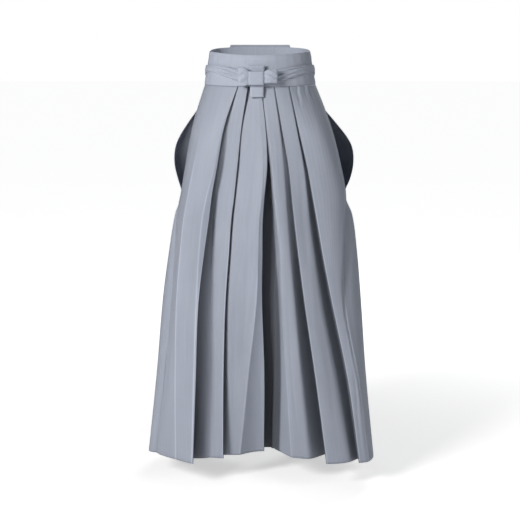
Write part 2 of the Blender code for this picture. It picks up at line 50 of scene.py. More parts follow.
SEAM = 0.0003           # gap left between sewn pieces
FORK = 0.55             # where the legs part, as a share of the drop
SLIT = 0.29             # where the side openings end
WAIST_SIDE = 0.137      # half width of the waist at the seam
WAIST_FRONT = 0.105     # waist, middle to front
WAIST_BACK = 0.100      # waist, middle to back
WAIST_TAPER = 0.15      # the waist narrows upward by this much for each metre
FRONT_TAPER = 0.085     # and its front leans back by this much for each metre
BACK_TOP = 0.0117       # the backs start this much higher than the fronts
TIE_WIDTH = 0.037       # one pass of the front tie
TIE_WALL = 0.0024       # a tie is folded cloth
BACK_TIE_WALL = 0.0015
LOOP_WALL = 0.0014      # the loops of the knot
STRIP_WALL = 0.0013     # its wrap and tabs
BOARD_WALL = 0.0050
FOLD = 0.0028           # room between two layers where they meet in a pressed fold
HEM = 0.026             # the turned-up hem
SIDE_HEM = 0.020        # the turned-in hem along the side openings
SIDE_COLUMNS = 60       # the columns of a section that this hem may reach
BACK_HEM_INNER = 0.020  # inner edge of each back at the hem, from the middle
LEFT_HEM_INNER = 0.003  # inner edge of the left front at the hem
GORE_SAG = 0.010        # how far a gore hangs into its leg at the hem
FLOOR = -0.985          # the studio's floor, 65 mm below the hem

CAMERA_PLACE = (0.0, -3.3, 0.065)
CAMERA_DOWN = 8.75      # degrees below level
CAMERA_LENS = 90.46     # millimetres, for a sensor 36 mm wide
LAMP_AIM = (0, 0, -0.3)

# shares of the drop of the rows: closest above the end of the side openings
SHARES = np.concatenate((np.linspace(0, SLIT, 61)[:-1], np.linspace(SLIT, FORK, 41)[:-1],
                         np.linspace(FORK, 1, 61)))
ROW = SHARES[:, None]

# ---- form of the panels
# share, middle, crest_out, crest, side_y, round: how far forward the cloth is at the middle and
# where each leg stands out most, where the side edge is, and how square the section is
FRONT_FORM = {
    "right": (
        (0.00, 0.105, 0.010, 0.105, 0.000, 2.0),
        (0.12, 0.118, 0.060, 0.119, 0.000, 2.5),
        (0.29, 0.122, 0.060, 0.130, 0.020, 1.9),
        (0.55, 0.115, 0.110, 0.155, 0.089, 1.5),
        (1.00, 0.100, 0.165, 0.198, 0.105, 1.25)),
    "left": (
        (0.00, 0.105, 0.010, 0.105, 0.000, 2.0),
        (0.12, 0.118, 0.080, 0.121, 0.000, 2.8),
        (0.29, 0.122, 0.085, 0.130, 0.038, 2.5),
        (0.55, 0.115, 0.130, 0.155, 0.126, 2.0),
        (1.00, 0.100, 0.220, 0.200, 0.180, 1.4)),
}
# share, middle, crest_out, crest, and the two powers of the superellipse of the backs
BACK_FORM = (
    (0.00, 0.1085, 0.010, 0.1085, 3.2, 1.0),
    (0.12, 0.1230, 0.035, 0.1250, 2.4, 1.7),
    (0.29, 0.1300, 0.065, 0.1380, 2.2, 2.0),
    (0.55, 0.1200, 0.105, 0.1480, 2.1, 2.1),
    (1.00, 0.1050, 0.150, 0.1700, 2.0, 2.2))
# share, right_out, left_out, back: where each back turns the side
SIDE_TURN = (
    (0.00, 0.115, 0.115, 0.080),
    (0.05, 0.147, 0.150, 0.081),
    (0.10, 0.182, 0.191, 0.075),
    (0.17, 0.217, 0.236, 0.055),
    (0.22, 0.219, 0.239, 0.034),
    (0.26, 0.209, 0.229, 0.010),
    (0.29, 0.199, 0.215, -0.020),
    (0.35, 0.214, 0.232, -0.012),
    (0.45, 0.230, 0.245, -0.004),
    (0.55, 0.243, 0.253, -0.006),
    (0.78, 0.262, 0.267, -0.036),
    (1.00, 0.283, 0.286, -0.075))

# ---- lines down the fronts
# millimetres: the distance out of each line at each share, its lift out of the form, then the
# width over which the cloth rounds there at the waist and at the hem, and a pressed ridge's height
LEVEL = (0,) * 9
LINE_SHARES = (0.0, 0.10, 0.22, 0.29, 0.35, 0.45, 0.55, 0.78, 1.0)
LINES = {
    "right": {
        "side":    ((137, 167, 188, 199, 209, 214, 219, 239, 262), LEVEL, 2, 2, 0),
        "crease3": ((118, 142, 164, 177, 187, 197, 204, 210, 210),
            (0, 0, 15, 25, 30, 29, 26, 8, -8), 2, 5, 0.9),
        "roll3":   ((57, 88, 113, 131, 142, 151, 156, 163, 168), LEVEL, 1, 2, 0.2),
        "pleat3":  ((55, 86, 107, 119, 126, 139, 150, 159, 166),
            (0, -1, -4, -8, -12, -9, -2, -1, -1), 1, 1, 0),
        "shade3":  ((53, 73, 92, 107, 116, 120, 122, 124, 124),
            (-1, -12, -26, -32, -41, -50, -55, -57, -38), 0.6, 1.5, 0),
        "pleat2":  ((30, 45, 57, 64, 71, 78, 85, 92, 93),
            (0, -10, -17, -23, -31, -37, -38, -33, -6), 1, 1, 0),
        "shade2":  ((18, 40, 52, 60, 66, 73, 79, 81, 81),
            (-9, -12, -22, -28, -37, -43, -44, -39, -23), 0.6, 1.5, 0),
        "ridge1":  ((8, -1, -7, -4, 2, 5, 8, 30, 51), (0, 0, 0, 1, 1, 1, 1, 3, 3), 1, 1.5, 0.5),
        "pleat1":  ((-1, -12, -16, -10, -6, -5, -4, -10, -9),
            (0, 0, -2, -3, -4, -5, -6, -7, -8), 1, 1, 0)},
    "left": {
        "side":    ((138, 175, 204, 215, 213, 209, 207, 242, 268), LEVEL, 2, 2, 0),
        "pleat3":  ((72, 92, 117, 129, 139, 155, 173, 217, 246),
            (0, 0, 0, -1, -1, -1, -1, -2, -2), 1, 1, 0),
        "shade3":  ((69, 87, 107, 114, 119, 131, 143, 183, 221),
            (0, -2, -4, -6, -8, -9, -10, -13, -14), 0.6, 6, 0),
        "pleat2":  ((36, 52, 71, 78, 84, 95, 107, 138, 165), (0, 2, 4, 5, 6, 7, 8, 11, 14), 1, 1, 0),
        "shade2":  ((33, 47, 58, 63, 67, 74, 83, 102, 125),
            (0, -2, -4, -5, -6, -5, -4, 0, 2), 0.6, 7, 0),
        "crease":  ((12, 19, 29, 33, 38, 46, 51, 66, 79), (0, 1, 2, 3, 4, 6, 8, 14, 20), 1, 4, 0.3),
        "shade1":  ((6, 14, 26, 31, 36, 44, 46, 44, 40),
            (0, -3, -12, -24, -32, -38, -40, -38, -30), 0.6, 5, 0)},
}
# how far the left front's strips fall away towards the pleat edges that cover them
FALLS_MM = {"pleat3": (2, 4, 9, 18, 25, 31, 38, 42, 32), "pleat2": (2, 4, 11, 15, 18, 24, 30, 44, 48)}
# the gap between the legs: where its floor ends beside the left front, how far out the shadow
# painted in it reaches, and how far forward the floor is
GAP_FOOT_MM = (4, 10, 23, 29, 34, 42, 38, 33, 28)
GAP_DARK_MM = (6, 12, 22, 27, 32, 40, 46, 53, 50)
GAP_REACH_MM = (99, 98, 80, 78, 78, 78, 77, 68, 58)
# depth in millimetres at the waist, the fork and the hem, then the room between the layers at the
# waist, the end of the side openings, the fork and the hem
PLEATS = {
    "right": {"pleat3": ((30, 45, 62), (3.4, 9.2, 13.7, 21.0)),
              "pleat2": ((22, 38, 48), (3.4, 7.5, 9.0, 22.0)),
              "pleat1": ((17, 20, 45), (3.0, 12.5, 19.0, 22.0))},
    "left": {"pleat3": ((30, 40, 30), (3.4, 7.0, 12.0, 13.0)),
             "pleat2": ((26, 42, 48), (3.4, 9.0, 16.0, 26.0))},
}
# lines of each strip that shows, from the side to the middle, with the columns between them: edge
# is where the pleat before ends, and under is where the strip passes beneath that pleat
STRIPS = {
    "right": ((("side", "crease3", "roll3", "pleat3"), (26, 26, 8)),
              (("edge", "shade3", "pleat2"), (10, 24)),
              (("edge", "shade2", "ridge1", "pleat1"), (6, 20, 22))),
    "left": ((("side", "pleat3"), (44,)),
             (("edge", "under", "shade3", "pleat2"), (6, 24, 26)),
             (("edge", "under", "shade2", "crease", "shade1"), (6, 24, 20, 20))),
}
# how strong the painted highlight along each pressed line is, and the share where it starts
PAINTED_HIGHLIGHTS = {
    "right": {"crease3": (1.0, 0.14), "roll3": (0.9, 0.17), "pleat3": (0.3, 0.2),
              "pleat2": (1.0, 0.35), "ridge1": (0.6, 0.45), "pleat1": (0.4, 0.5)},
    "left": {"pleat3": (0.9, 0.22), "pleat2": (0.8, 0.25), "crease": (0.5, 0.3)},
}
BOW = 4.0               # how squarely the cloth goes round between side seam and turn
# how far out from the edge of a pleat shade is painted on the cloth beneath
PAINTED_SHADE_MM = {
    "right": {"pleat3": (3, 5, 8, 10, 12, 19, 26, 34, 40), "pleat2": (9, 4, 4, 5, 5, 5, 6, 12, 12)},
    "left": {"pleat3": (3, 6, 12, 16, 19, 24, 28, 30, 24), "pleat2": (3, 4, 7, 9, 12, 20, 26, 33, 36)},
    "back": (8, 12, 18, 20, 22, 24, 26, 30, 34),
}
PAINTED_SHADE_MOST = 0.77             # how strong that painted shade is right beside that edge
HIGHLIGHT_HALF_WIDTH = 0.0016          # half width of a painted highlight line
HIGHLIGHT_PALER = 1.35           # the pale colour times this for the painted highlight along pressed edges
PAINTED_SHADE_DARKER = 0.28           # the deep colour times this where shade is painted deep in a fold
# the pleat of each back: the distance out of its edge, then its sizes as in PLEATS
BACK_PLEAT_MM = (30, 35, 40, 44, 48, 53, 58, 70, 82)
BACK_PLEAT = ((28, 40, 55), (2.2, 7.4, 11.4, 18.0))

# ---- creases, placed one by one
# top, top_x, foot, foot_x, height (out of the cloth, negative is a trough), width: top and foot
# in hundredths of the drop, the rest in millimetres; x is positive on the wearer's left
FRONT_CREASES = (
    (0, 84, 3, 87, -1.2, 2.2),
    (0, 91, 6, 97, -3.0, 3.4),
    (0, 97, 5, 104, 1.0, 3.5),
    (0, 108, 4, 116, -1.6, 2.6),
    (0, 116, 5, 126, 1.2, 3.0),
    (0, 122, 5.5, 136, -2.0, 3.0),
    (2, 118, 26, 172, 0.7, 7.0),
    (8, 30, 30, 48, 0.6, 4.0),
    (12, 88, 48, 118, -0.8, 7.0),
    (30, 112, 70, 140, 0.8, 8.0),
    (56, 64, 98, 96, -1.0, 5.0),
    (64, 92, 99, 122, 0.9, 6.0),
    (62, 150, 98, 196, -0.9, 7.0),
    (70, 226, 99, 252, -1.3, 4.5),
    (30, 203, 60, 204, 1.1, 3.0),
    (56, 203, 85, 246, 1.1, 3.0),
    (3, -24, 33, -38, 0.5, 5.0),
    (18, -12, 56, -30, -0.6, 7.0),
    (50, -24, 95, -36, 0.8, 6.0),
    (58, -62, 96, -66, -0.9, 5.0),
    (30, -92, 62, -98, 0.7, 6.0),
    (64, -104, 98, -108, -0.8, 4.0),
    (4, -70, 26, -112, 0.6, 7.0),
    (10, -118, 45, -176, -0.9, 9.0),
    (36, -196, 76, -228, 1.2, 5.0),
    (60, -182, 99, -186, 0.8, 6.0),
    (70, -232, 99, -246, -1.0, 4.0),
    (56, -214, 90, -226, 1.1, 4.0),
)
BACK_CREASES = (
    (0, -88, 20, -112, -1.2, 6.0),
    (2, 92, 24, 120, -1.3, 6.0),
    (3, -60, 33, -74, 0.9, 7.0),
    (1, 62, 30, 80, 0.8, 7.0),
    (25, -110, 70, -134, 1.0, 10.0),
    (28, 118, 72, 140, -1.1, 10.0),
    (40, -160, 90, -190, -1.2, 9.0),
    (38, 170, 88, 196, 1.1, 9.0),
    (45, 20, 95, 46, -0.9, 7.0),
    (48, -22, 94, -44, 0.8, 7.0),
    (60, -96, 99, -104, 1.1, 8.0),
    (64, 102, 99, 112, 1.2, 8.0),
    (55, 214, 96, 226, -1.0, 8.0),
    (52, -206, 93, -222, 0.9, 8.0),
)

# back tie from the board to the knot: way, low edge, high edge
BACK_TIE = (
    (0.00, 0.014, 0.050),
    (0.25, 0.027, 0.050),
    (0.50, 0.034, 0.050),
    (0.75, 0.025, 0.047),
    (1.00, 0.008, 0.037))


# ---- helpers
def along(shares, values, at):
    """Smooth table row: the Hermite cubic of each step's end values and slopes, at any share."""
    shares, values = np.asarray(shares, float), np.asarray(values, float)
    slopes = np.gradient(values, shares)
    i = np.clip(np.searchsorted(shares, at, side="right") - 1, 0, len(shares) - 2)
    step = shares[i + 1] - shares[i]
    u = (at - shares[i]) / step
    return ((2 * u**3 - 3 * u**2 + 1) * values[i] + (u**3 - 2 * u**2 + u) * step * slopes[i]
            + (3 * u**2 - 2 * u**3) * values[i + 1] + (u**3 - u**2) * step * slopes[i + 1])


def column(table, index, at=ROW):
    """One column of a table, on every row of the grid or at other shares."""
    return along([row[0] for row in table], [row[index] for row in table], at)


def on_rows(values_mm):
    """Millimetres at the shares of the lines, as metres on every row of the grid."""
    return along(LINE_SHARES, values_mm, ROW) / 1000


def ease(x, low, high):
    """0 below low, 1 above high, and a smooth step between."""
    u = np.clip((x - low) / (high - low), 0, 1)
    return u * u * (3 - 2 * u)


def steps(first, last, count, ends=False):
    """count evenly spaced columns after first, up to and with last (and first, if ends)."""
    u = np.arange(0 if ends else 1, count + 1) / count
    return first + (last - first) * u


def points_of(*parts):
    """Points from their coordinates, each spread over the whole grid."""
    return np.stack(np.broadcast_arrays(*parts), axis=-1)


def run_of(points):
    """How far along its row each point is, from the row's first."""
    length = np.linalg.norm(np.diff(points, axis=1), axis=2)
    return np.concatenate((np.zeros((len(points), 1)), np.cumsum(length, axis=1)), axis=1)


def even(path, count):
    """count points spaced evenly along every row: the rows are laid end to end, interpolated
    once by their length, and cut apart again."""
    run = run_of(path)
    run /= run[:, -1:]
    start = 2.0 * np.arange(len(path))[:, None]
    at = start + np.linspace(0, 1, count)
    flat = (run + start).ravel()
    return np.stack([np.interp(at.ravel(), flat, path[..., k].ravel()).reshape(at.shape)
                     for k in range(path.shape[2])], axis=-1)


def pleat(sizes):
    """Depth of a pleat and the room between its layers, on every row."""
    deep = np.interp(ROW, (0, FORK, 1), sizes[0]) / 1000
    room = along((0, SLIT, FORK, 1), sizes[1], ROW) / 1000
    return deep, room


def strip_level(out, keys):
    """How far a strip stands out of the form: straight between its lines; at each line between,
    the change of slope comes in as half of (distance + root(distance^2 + width^2)), and a
    pressed ridge adds height times exp(-(distance / 2.5 mm)^2)."""
    slopes = [(b[1] - a[1]) / (a[0] - b[0]) for a, b in zip(keys, keys[1:])]
    level = keys[0][1] + slopes[0] * (keys[0][0] - out)
    for key, before, after in zip(keys[1:-1], slopes, slopes[1:]):
        past = key[0] - out
        level = level + (after - before) * (past + np.sqrt(past**2 + key[2]**2)) / 2
        level = level + key[3] * np.exp(-(past / 0.0025)**2)
    return level


def turned(points, width, side):
    """Half circle that carries the cloth over an edge and under itself: centre half a width
    below the last point, square to the cloth."""
    way = points[:, -1:] - points[:, -2:-1]
    way = way / np.linalg.norm(way, axis=2, keepdims=True)
    under = side * np.stack((-way[..., 1], way[..., 0]), axis=-1)
    angle = (np.pi * np.arange(1, 7) / 6)[None, :, None]
    radius = width[..., None] / 2
    centre = points[:, -1:] + under * radius
    return centre - under * radius * np.cos(angle) + way * radius * np.sin(angle)


def beneath(reach_of, out, depth):
    """Points under the form at a depth: square to it where it rises, straight behind it and as
    far from it where it falls."""
    slope = (reach_of(out + 0.002) - reach_of(out)) / 0.002
    size = np.sqrt(1 + slope**2)
    rises = slope > 0
    return (out + np.where(rises, depth * slope / size, 0.0),
            np.where(rises, -depth / size, -depth * np.minimum(size, 1.5)))


def folded_under(points, reach_of, keys, deep, room, limit, count=11, layers=2):
    """The hidden layers of a knife pleat: over the edge, back to the fold, over it, and out
    again.  The layers make a Z, close at the edge and at the fold."""
    edge = keys[-1][0]
    tip = np.minimum(edge + deep, limit)
    steep = (keys[-1][1] - strip_level(edge + 0.004, keys)) / 0.004
    thin = np.minimum(room, FOLD * np.sqrt(1 + steep**2))
    runs = [turned(points, np.full_like(edge, FOLD), 1)]
    way = np.arange(count + 1) / count
    fade = (1 - way[None, :, None])**2
    for layer in range(layers):
        near, far = (thin, room) if layer == 0 else (2 * room, room + thin)
        u = way if layer == 0 else 1 - way
        out = edge + (tip - edge) * u
        moved, drop = beneath(reach_of, out, near + (far - near) * u)
        run = points_of(moved, reach_of(out) + strip_level(out, keys) + drop)
        run = run + (runs[-1][:, -1:] - run[:, :1]) * fade
        runs.append(run[:, 1:])
        if layer == 0 and layers == 2:
            runs.append(turned(runs[-1], np.full_like(edge, FOLD), -1))
    return np.concatenate(runs, axis=1)


# ---- sections of the panels
def line(side, name):
    """A line of one front on every row: distance out, lift, rounding, ridge; metres."""
    out, lift, top, foot, ridge = LINES[side][name]
    return (on_rows(out), on_rows(lift), (top + (foot - top) * ROW**1.5) / 1000,
            ridge / 1000 * ease(ROW, 0.05, 0.3))


def form(middle, crest_out, crest, edge_out, edge, power, root):
    """The form of a panel as a function of the distance out: a cosine from the middle to the
    crest of the leg, then a superellipse to the edge."""
    def reach_of(out):
        out = np.abs(out)
        inner = middle + (crest - middle) * (1 - np.cos(np.pi * out / crest_out)) / 2
        u = np.clip((out - crest_out) / (edge_out - crest_out), 0, 1)
        outer = edge + (crest - edge) * (1 - u**power)**(1 / root)
        return np.where(out <= crest_out, inner, outer)
    return reach_of


def front_reach(side):
    """The form of a front, out to its side edge."""
    middle, crest_out, crest, edge, power = (column(FRONT_FORM[side], i) for i in range(1, 6))
    return form(middle, crest_out, crest, line(side, "side")[0], edge, power, power)


def back_reach(side):
    """The form of a back, out to where it turns the side."""
    middle, crest_out, crest, power, root = (column(BACK_FORM, i) for i in range(1, 6))
    return form(middle, crest_out, crest, *side_turn(side), power, root)


def side_turn(side):
    """Where a back turns the side: distance out, and how far back."""
    return column(SIDE_TURN, 1 if side == "right" else 2), column(SIDE_TURN, 3)


def side_bow(side, way):
    """(out, back) from the side seam (way 0) to the turn (way 1): turn - (turn - seam) *
    (1 - way)^bow in the distance out, straight in the other direction."""
    out, back = side_turn(side)
    seam_out, seam_back = line(side, "side")[0], -column(FRONT_FORM[side], 4)
    return points_of(out - (out - seam_out) * (1 - way)**BOW, seam_back + (back - seam_back) * way)


def side_seam(side):
    """Side edge of a front (out, forward) and the way the cloth crosses it: straight to the
    back beside the opening, then along the chord across the seam."""
    out, forward = line(side, "side")[0], column(FRONT_FORM[side], 4)
    after = side_bow(side, np.array([[0.15]]))[:, 0]
    last = out - 0.012
    chord = np.concatenate((after[:, :1] - last, -after[:, 1:] - front_reach(side)(last)), axis=1)
    chord /= np.linalg.norm(chord, axis=1, keepdims=True)
    below = ease(ROW, SLIT - 0.02, SLIT + 0.04)
    way = chord * below + np.array([0.0, -1.0]) * (1 - below)
    return points_of(out, forward), (way / np.linalg.norm(way, axis=1, keepdims=True))[:, None]


def rounded_start(edge, control, path, count=8):
    """Eases a path onto the cloth's direction at its edge: a quadratic curve from the edge,
    through a control point, to the path's first point."""
    u = (np.arange(count) / count)[None, :, None]
    return np.concatenate(((1 - u)**2 * edge + 2 * u * (1 - u) * control + u**2 * path[:, :1],
                           path), axis=1)


def tucked_at(clear, widths_mm):
    """How much shade is painted on cloth that comes clear of a pleat edge by some distance: the
    strongest painted shade times 1 - (clear / width)^2, down to 0."""
    return PAINTED_SHADE_MOST * (1 - np.clip(clear / on_rows(widths_mm), 0, 1)**2)


def strip_lines(side, names, edge, covering):
    """The lines of one strip on every row, as (distance out, level, rounding, ridge)."""
    reach_of = front_reach(side)
    keys = [edge if name in ("edge", "under") else line(side, name) for name in names]
    if "under" in names:                 # the strip falls away to pass under the pleat before
        shade = keys[2]
        out = np.minimum(line(side, covering)[0] + 0.002, edge[0] - 0.001)
        reach = np.minimum(reach_of(shade[0]) + shade[1] - on_rows(FALLS_MM[covering]),
                           reach_of(edge[0]) + edge[1] - 0.002)
        keys[1] = (out, reach - reach_of(out), 0.001, 0.0)
    elif "edge" in names:
        keys[1] = (np.minimum(keys[1][0], edge[0] - 0.004), *keys[1][1:])
    return keys


def strip_run(side, keys, counts, outermost):
    """Points of one strip, evenly spaced from line to line; those of the outermost strip go by
    the angle round the form, and leave the side seam the way the cloth crosses it."""
    reach_of, side_out = front_reach(side), line(side, "side")[0]
    crest_out, power = column(FRONT_FORM[side], 2), column(FRONT_FORM[side], 5)

    def turn(out):
        u = np.clip((out - crest_out) / (side_out - crest_out), 0, 1)
        return np.arcsin(u**(power / 2))

    run = []
    for number, (a, b, count) in enumerate(zip(keys, keys[1:], counts)):
        if outermost:
            first = turn(side_out - 0.007) if number == 0 else turn(a[0])
            angles = steps(first, turn(b[0]), count, ends=number == 0)
            out = crest_out + (side_out - crest_out) * np.sin(angles)**(2 / power)
            out[:, -1:] = b[0]
        else:
            out = steps(a[0], b[0], count)
        run.append(points_of(out, reach_of(out) + strip_level(out, keys)))
    run = np.concatenate(run, axis=1)
    if not outermost:
        return run
    seam, way = side_seam(side)
    return rounded_start(seam - way * SEAM / 2, seam - way * 0.004, run)


def middle_flange(last, keys, reach_of):
    """The right front's last points: from its fold straight back along the front seam."""
    deep, room = pleat(PLEATS["right"]["pleat1"])
    tip = keys[-1][0] + deep
    drop = beneath(reach_of, tip, 2 * room)[1]
    foot = reach_of(tip) + strip_level(tip, keys) + drop - 0.003
    return points_of(last[..., 0], steps(last[..., 1], foot, 6))


def gap(last, reach_of):
    """The left front's last points: into the gap between the legs, across the gap's floor, and
    back under the middle pleat to the seam."""
    room = pleat(PLEATS["right"]["pleat1"])[1]
    under = 0.002 - line("right", "pleat1")[0]
    foot, floor = np.maximum(on_rows(GAP_FOOT_MM), under + 0.001), on_rows(GAP_REACH_MM)
    start = reach_of(last[0]) + last[1]
    u = np.arange(1, 17) / 16
    wall = points_of(last[0] + (foot - last[0]) * u,
                     start + (floor - start) * (u + 0.15 * np.sin(2 * np.pi * u)))
    out = steps(under, left_start(), 12)
    behind = reach_of(out) - 2 * room
    back = points_of(out, floor + (behind - floor) * ease(np.arange(1, 13) / 12, 0, 1))
    return np.concatenate((wall, points_of(steps(foot, under, 8), floor), back), axis=1)


def gap_shadow(out):
    """How much shadow is painted on points in the gap, by their distance out."""
    edge = on_rows(GAP_DARK_MM)
    return ease(ROW, 0.10, 0.16) * (1 - ease(out, edge - 0.003, edge + 0.003))


def front_section(side):
    """Section points of one front on every row, from its side edge to its inner edge; the columns
    that get a painted highlight (column, its strength, from which share); and how much shade is
    painted on each point, which is 1 in the hidden layers."""
    reach_of = front_reach(side)
    limit = line(side, "side")[0] - 0.012
    parts, pressed, tucked, edge, covering = [], [], [], None, None
    for names, counts in STRIPS[side]:
        keys = strip_lines(side, names, edge, covering)
        run = strip_run(side, keys, counts, names[0] == "side")
        first = sum(part.shape[1] for part in parts) + run.shape[1] - sum(counts)
        for name, after in zip(names[1:], np.cumsum(counts)):
            if name in PAINTED_HIGHLIGHTS[side]:
                pressed.append((first + after - 1, *PAINTED_HIGHLIGHTS[side][name]))
        parts.append(run)
        # painted shade on the strip beside the edge of the pleat that covers it
        tucked.append(np.zeros(run.shape[:2]) if covering is None else tucked_at(
            line(side, covering)[0] - run[..., 0], PAINTED_SHADE_MM[side][covering]))
        covering = names[-1]
        if covering not in PLEATS[side]:
            break
        deep, room = pleat(PLEATS[side][covering])
        single = covering == "pleat1"
        fold = folded_under(run, reach_of, keys, deep, room, 1.0 if single else limit,
                            layers=1 if single else 2)
        parts.append(fold)
        tucked.append(np.ones(fold.shape[:2]))
        edge = (fold[:, -1:, 0], fold[:, -1:, 1] - reach_of(fold[:, -1:, 0]), 0.0, 0.0)
        limit = edge[0] - 0.005
    if side == "right":
        parts.append(middle_flange(parts[-1][:, -1:], keys, reach_of))
        tucked.append(np.ones(parts[-1].shape[:2]))
    else:
        parts.append(gap(keys[-1], reach_of))
        # painted shadow of the gap, on the last strip and on the gap itself
        tucked[-1] = np.maximum(tucked[-1], gap_shadow(run[..., 0]))
        tucked.append(gap_shadow(parts[-1][..., 0]))
    return np.concatenate(parts, axis=1), pressed, np.concatenate(tucked, axis=1)


def left_start():
    """X of the left front's inner edge: at the seam under the middle pleat, and below the fork
    further and further into its own leg."""
    seam = -(line("right", "pleat1")[0] + pleat(PLEATS["right"]["pleat1"])[0])
    fork = seam[np.argmin(np.abs(SHARES - FORK))] + 1.5 * SOLID_WALL + 2 * SEAM
    below = fork + (LEFT_HEM_INNER - fork) * (ROW - FORK) / (1 - FORK)
    return np.where(ROW < FORK, seam + SOLID_WALL / 2 + SEAM, below)


def back_section(side):
    """Section points of one back on every row, from its side edge to the middle seam."""
    reach_of = back_reach(side)
    edge_out, fold = side_turn(side)[0], on_rows(BACK_PLEAT_MM)
    crest_out, power = column(BACK_FORM, 2), column(BACK_FORM, 4)
    seam, way = (part * np.array([1, -1]) for part in side_seam(side))
    deep, room = pleat(BACK_PLEAT)

    bow = side_bow(side, 0.15 + 0.85 * np.arange(13)[None, :] / 12)
    start = (edge_out - 0.0005 - crest_out) / (edge_out - crest_out)
    angles = steps(np.arcsin(start**(power / 2)), 0.0, 90)
    out = crest_out + (edge_out - crest_out) * np.sin(np.maximum(angles, 0))**(2 / power)
    out = np.concatenate((np.maximum(out, fold), steps(np.maximum(crest_out, fold), fold, 12)),
                         axis=1)
    shown = points_of(out, reach_of(out))
    path = [seam + way * SEAM / 2, seam + way * 0.004, bow]  # only below the side opening
    path = [np.where((ROW > SLIT)[..., None], part, shown[:, :1]) for part in path]
    run = even(np.concatenate((*path, shown), axis=1), 84)
    keys = [(edge_out, 0.0, 0.0, 0.0), (fold, 0.0, 0.0, 0.0)]
    hidden = folded_under(run, reach_of, keys, deep, room, edge_out - 0.01)
    inner = (SOLID_WALL + SEAM) / 2
    inner = inner + (BACK_HEM_INNER - inner) * np.maximum(ROW - FORK, 0) / (1 - FORK)
    out = steps(hidden[:, -1:, 0], inner, 26)
    last = points_of(out, reach_of(out) - 2 * room)
    flange = points_of(inner, steps(last[:, -1:, 1], last[:, -1:, 1] - 0.004, 2))
    points = np.concatenate((run, hidden, last, flange), axis=1)
    # painted shade beneath the back's pleat edge; the column returned below gets a painted highlight
    # along that edge
    tucked = tucked_at(fold - points[..., 0], PAINTED_SHADE_MM["back"])
    tucked[:, :run.shape[1]] = 0
    return points, [(run.shape[1] - 1, 0.8, 0.2)], tucked


def crease_height(x, share, creases):
    """How far the listed creases lift the cloth: each is a bell across its line, exp(-(x
    distance / width)^2), that fades in and out along it as the root of a half sine, or just out
    as a cosine where it starts by the waist.  A slow swell of 0.7 mm joins them lower down."""
    swell = np.sin(23 * x + 9 * share) * np.sin(11 * share - 31 * x + 1.3)
    moved = 0.0007 * swell * ease(share, 0.05, 0.5)
    for top, top_x, foot, foot_x, height, width in creases:
        top, foot = top / 100, foot / 100
        u = np.clip((share - top) / (foot - top), 0, 1)
        centre = (top_x + (foot_x - top_x) * u + 1.5 * np.sin(7 * u + top_x)) / 1000
        fade = np.sin(np.pi * u)**0.5 if top > 0.03 else np.cos(np.pi * u / 2)
        moved += height / 1000 * fade * np.exp(-((x - centre) / (width / 1000))**2)
    return moved


def side_hem_height(section, side, front):
    """The turned-in hem beside a side opening: the cloth stands 0.5 mm prouder inside it, with
    a 0.7 mm trough along the stitched line."""
    edge = section[:, :1, 0] if front else side_turn(side)[0]
    width = SIDE_HEM * (1 - (ROW / SLIT)**4).clip(0, 1)
    inside = edge - width - section[..., 0]
    fade = np.clip((SLIT + 0.01 - ROW) / 0.03, 0, 1)
    proud = 0.0005 * ease(-inside, -0.0008, 0.0008) - 0.0007 * np.exp(-(inside / 0.0012)**2)
    return proud * fade * (np.arange(section.shape[1]) < SIDE_COLUMNS)


def hem_height(z):
    """The turned-up hem: a trough 0.4 mm deep along its blind-stitched top edge."""
    return -0.0004 * np.exp(-((z + DROP - HEM) / 0.0020)**2)


def waist_line(out):
    """Height of the waist seam on the front: it dips in the middle."""
    return -0.0016 + 0.004 * (out / WAIST_SIDE)**2


def placed(side, section, front):
    """World points of a section: out to the side, reach to the front or back, down the drop."""
    out, reach = section[..., 0], section[..., 1]
    x = -out if side == "right" else out
    z = (waist_line(out) if front else BACK_TOP) * np.maximum(0, 1 - ROW / 0.08) - DROP * ROW
    reach = (reach + crease_height(x, -z / DROP, FRONT_CREASES if front else BACK_CREASES)
             + side_hem_height(section, side, front) + hem_height(z))
    return points_of(x, -reach if front else reach, z)


# ---- finishes
def nodes_of(name):
    """A new material, its shader, and the calls that add a node and a link."""
    made = bpy.data.materials.new(name)
    made.use_nodes = True
    nodes = made.node_tree.nodes
    return made, nodes["Principled BSDF"], nodes.new, made.node_tree.links.new


def settings(node, values):
    """Sets a node's inputs by their names."""
    for name, value in values.items():
        node.inputs[name].default_value = value


